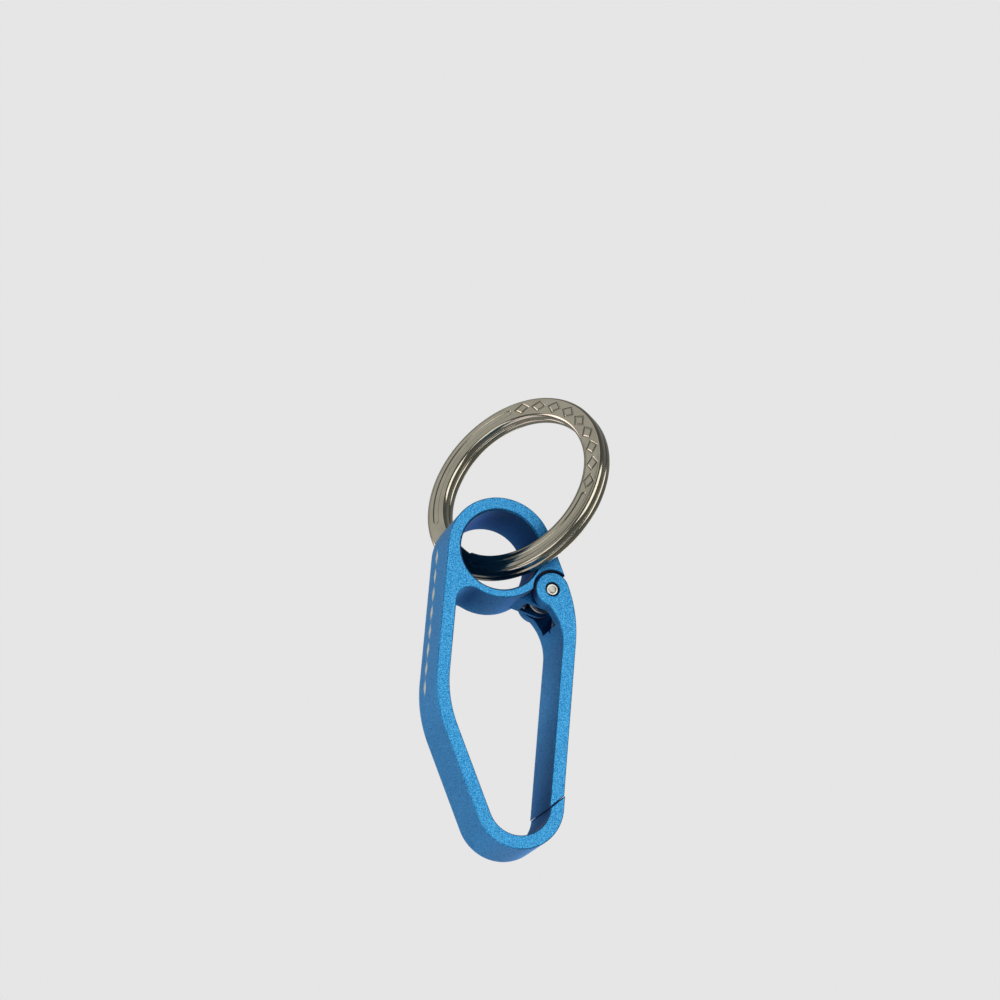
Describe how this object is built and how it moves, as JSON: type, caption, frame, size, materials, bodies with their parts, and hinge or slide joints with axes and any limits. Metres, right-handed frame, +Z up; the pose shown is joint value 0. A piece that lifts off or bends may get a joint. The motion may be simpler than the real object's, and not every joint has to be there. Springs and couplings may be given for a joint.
{
  "type": "carabiner keyring",
  "caption": "Flat machined carabiner with a round eye, a slanted back and an inward-opening sprung gate, hung on a flat-wire split ring.",
  "frame": {"origin": "the top of the split ring's inside, where the keyring hangs", "axes": "+Z up, along the carabiner's straight side towards the ring; the carabiner's front face looks along -Y; +X points from the straight side to the gate"},
  "size_m": [0.022, 0.0251, 0.0709],
  "materials": {
    "blue_anodised": "bead-blasted and anodised blue",
    "satin_nickel": "satin nickel with rounded, polished edges",
    "pin_steel": "turned ends",
    "spring_steel": "drawn wire"
  },
  "bodies": {
    "ring": {"split_ring": "satin_nickel"},
    "carabiner": {"carabiner_body": "blue_anodised", "hinge_pin": "pin_steel", "torsion_spring": "spring_steel"},
    "gate": {"gate": "blue_anodised"}
  },
  "joints": [
    {"name": "carabiner_swing", "type": "hinge", "parent": "ring", "child": "carabiner", "pos_m": [-0.00483, -0.00164, -0.02351], "axis": [0, 1, 0], "range_deg": [-110, 155]},
    {"name": "gate_hinge", "type": "hinge", "parent": "carabiner", "child": "gate", "pos_m": [0.00347, -0.00164, -0.02826], "axis": [0, 1, 0], "range_deg": [0, 17.5], "stiffness_Nm_per_rad": 0.04, "springref_deg": -28.65, "deforming": ["torsion_spring"]}
  ]
}
